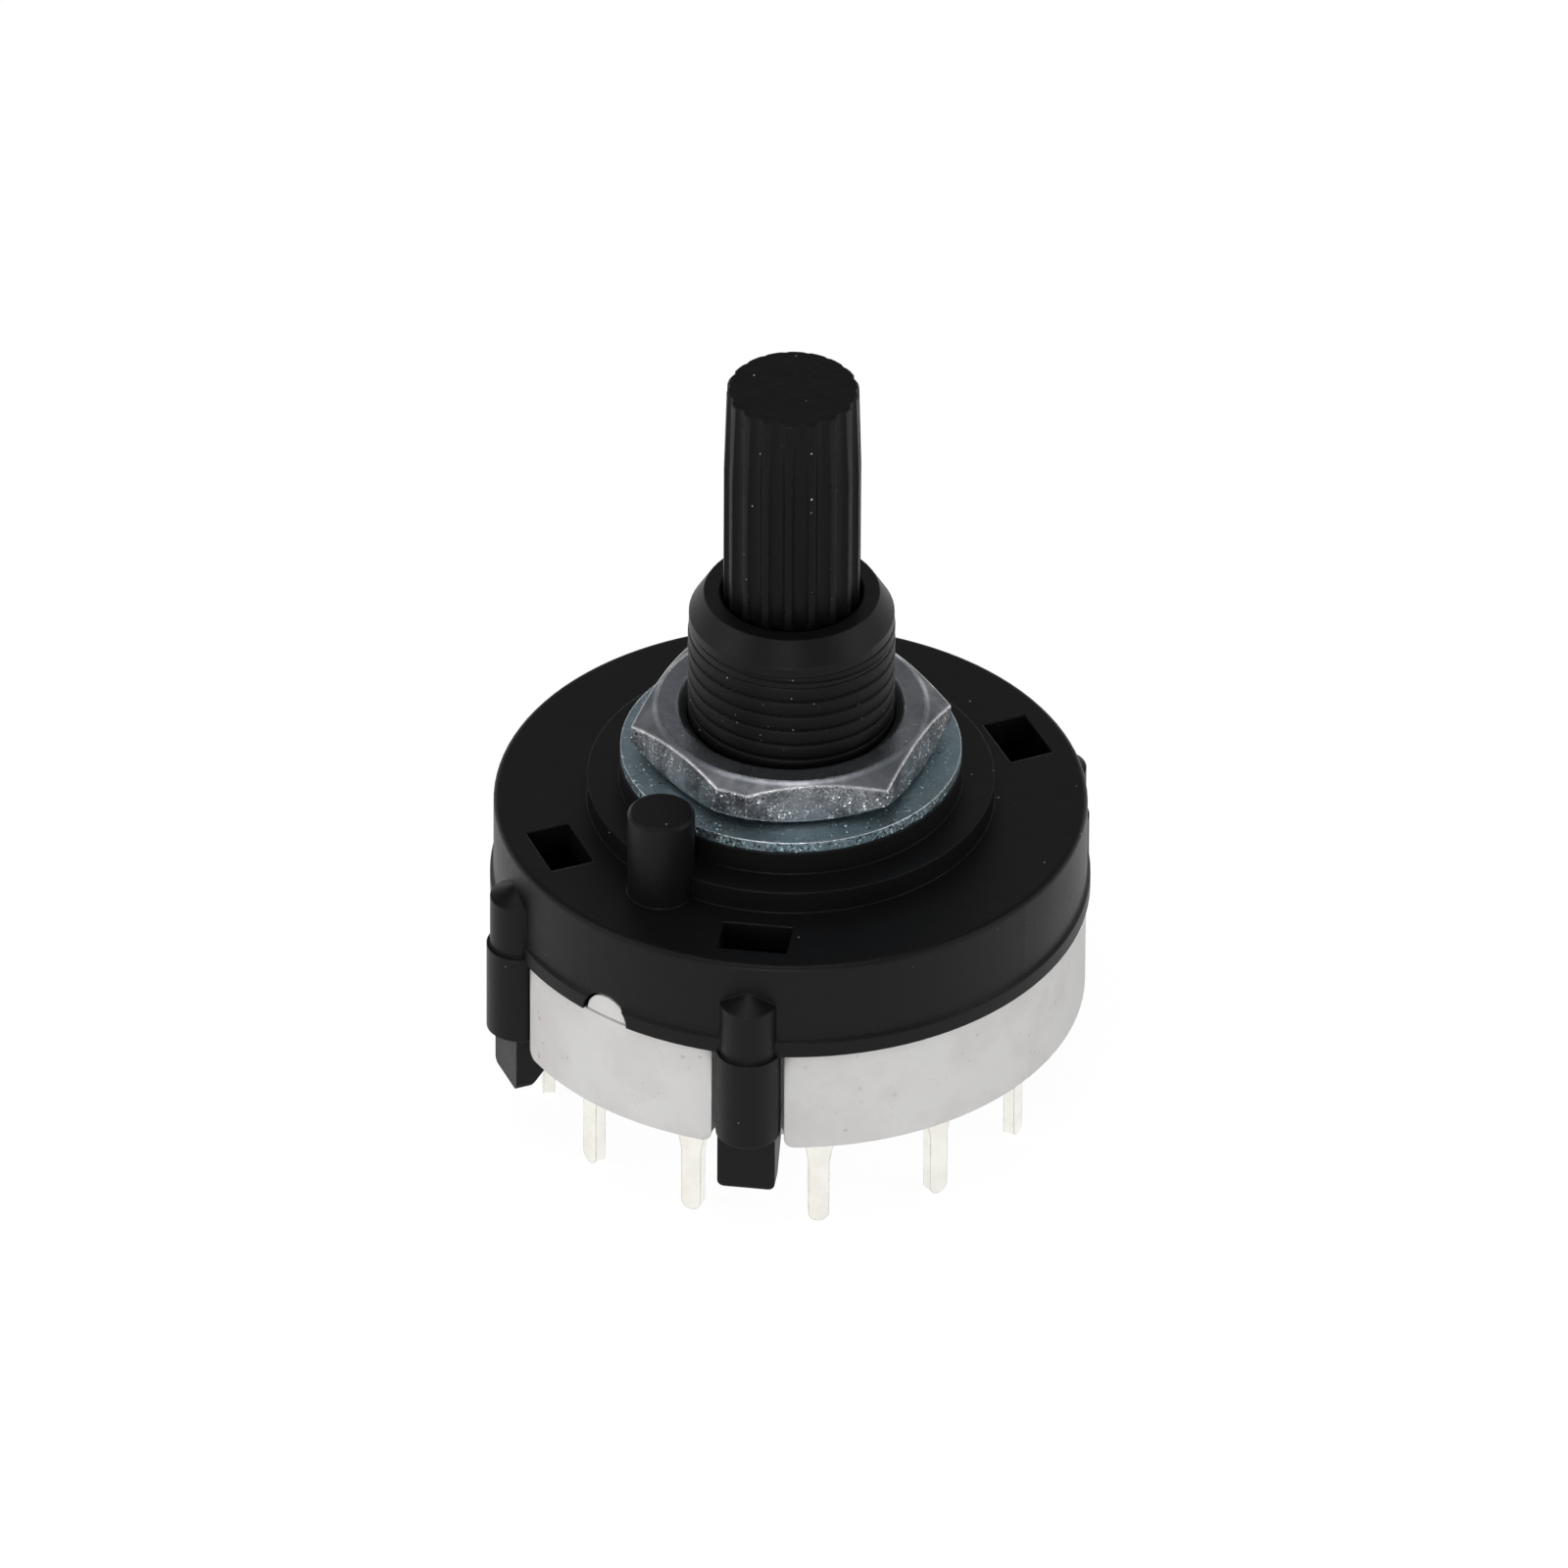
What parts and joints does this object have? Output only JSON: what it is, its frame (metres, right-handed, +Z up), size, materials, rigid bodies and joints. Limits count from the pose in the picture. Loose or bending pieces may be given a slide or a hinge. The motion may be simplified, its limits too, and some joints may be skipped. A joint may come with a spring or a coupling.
{
  "type": "rotary switch",
  "caption": "Round panel-mount rotary switch: splined shaft in a threaded bushing with nut and washer, black housing clipped to a white base with a ring of pin terminals.",
  "frame": {"origin": "on the shaft's axis, in the plane of the terminal tips that the switch stands on", "axes": "+Z up the shaft, -Y towards the locating pin and the base's key, +X to the right when the locating pin faces the viewer"},
  "size_m": [0.0258, 0.0258, 0.0362],
  "materials": {
    "black_housing": "satin moulded nylon",
    "black_shaft": "satin moulded nylon",
    "white_base": "natural milky nylon",
    "nut_steel": "nickel plated, fine turned marks",
    "washer_zinc": "bright zinc plate",
    "spring_steel": "drawn wire",
    "ball_steel": "polished",
    "contact_bronze": "stamped spring bronze",
    "tinned_terminal": "bright tin plate"
  },
  "bodies": {
    "switch_body": {"housing": "black_housing", "terminal_base": "white_base", "common_terminal": "tinned_terminal", "terminal_1": "tinned_terminal", "terminal_2": "tinned_terminal", "terminal_3": "tinned_terminal", "terminal_4": "tinned_terminal", "terminal_5": "tinned_terminal", "terminal_6": "tinned_terminal", "terminal_7": "tinned_terminal", "terminal_8": "tinned_terminal", "terminal_9": "tinned_terminal", "terminal_10": "tinned_terminal", "terminal_11": "tinned_terminal", "terminal_12": "tinned_terminal"},
    "rotor": {"shaft_rotor": "black_shaft", "detent_spring": "spring_steel", "contact_spring": "spring_steel"},
    "left_ball": {"detent_ball_left": "ball_steel"},
    "right_ball": {"detent_ball_right": "ball_steel"},
    "wiper": {"moving_contact": "contact_bronze"},
    "washer": {"mounting_washer": "washer_zinc"},
    "nut": {"mounting_nut": "nut_steel"}
  },
  "joints": [
    {"name": "shaft_turn", "type": "hinge", "parent": "switch_body", "child": "rotor", "pos_m": [0, 0, 0.0117], "axis": [0, 0, 1], "range_deg": [-330, 0]},
    {"name": "left_ball_travel", "type": "slide", "parent": "rotor", "child": "left_ball", "axis": [-1, 0, 0], "range_m": [0, 0.00038], "stiffness_N_per_m": 800, "springref_m": 0.002},
    {"name": "right_ball_travel", "type": "slide", "parent": "rotor", "child": "right_ball", "axis": [1, 0, 0], "range_m": [0, 0.00038], "stiffness_N_per_m": 800, "springref_m": 0.002},
    {"name": "contact_lift", "type": "slide", "parent": "rotor", "child": "wiper", "axis": [0, 0, 1], "range_m": [0, 0.0003], "stiffness_N_per_m": 300, "springref_m": -0.0015, "deforming": ["contact_spring"]},
    {"name": "washer_lift", "type": "slide", "parent": "switch_body", "child": "washer", "axis": [0, 0, 1], "range_m": [0, 0.0045]},
    {"name": "nut_turn", "type": "hinge", "parent": "washer", "child": "nut", "pos_m": [0, 0, 0.0186], "axis": [0, 0, 1], "range_deg": [0, 2161]}
  ],
  "couplings": [
    {"joint": "right_ball_travel", "follows": "left_ball_travel", "ratio": 1},
    {"joint": "nut_turn", "follows": "washer_lift", "rad_per_m": 8377.6}
  ]
}
